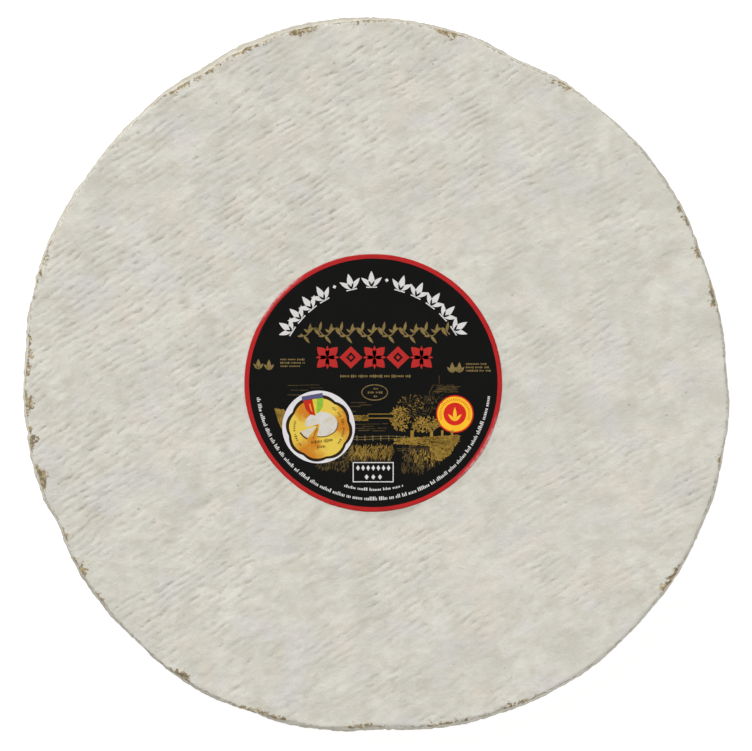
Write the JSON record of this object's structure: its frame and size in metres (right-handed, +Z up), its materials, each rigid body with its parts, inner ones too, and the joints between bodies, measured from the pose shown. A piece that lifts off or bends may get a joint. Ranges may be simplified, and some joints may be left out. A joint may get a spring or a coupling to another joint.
{
  "type": "cheese wheel",
  "caption": "Large flat round of soft white-rind cheese lying on its face, with a round paper label and a small award sticker stuck on top.",
  "frame": {"origin": "bottom centre of the bounding box, on the surface that the wheel lies on", "axes": "+Z up, out of the labelled face; +Y towards the top of the label, +X to its right"},
  "size_m": [0.3628, 0.3666, 0.0273],
  "materials": {
    "rind": "matte",
    "label_paper": "satin",
    "sticker_foil": "satin"
  },
  "bodies": {
    "root": {"cheese_wheel": "rind", "paper_label": "label_paper", "award_sticker": "sticker_foil"}
  },
  "joints": []
}
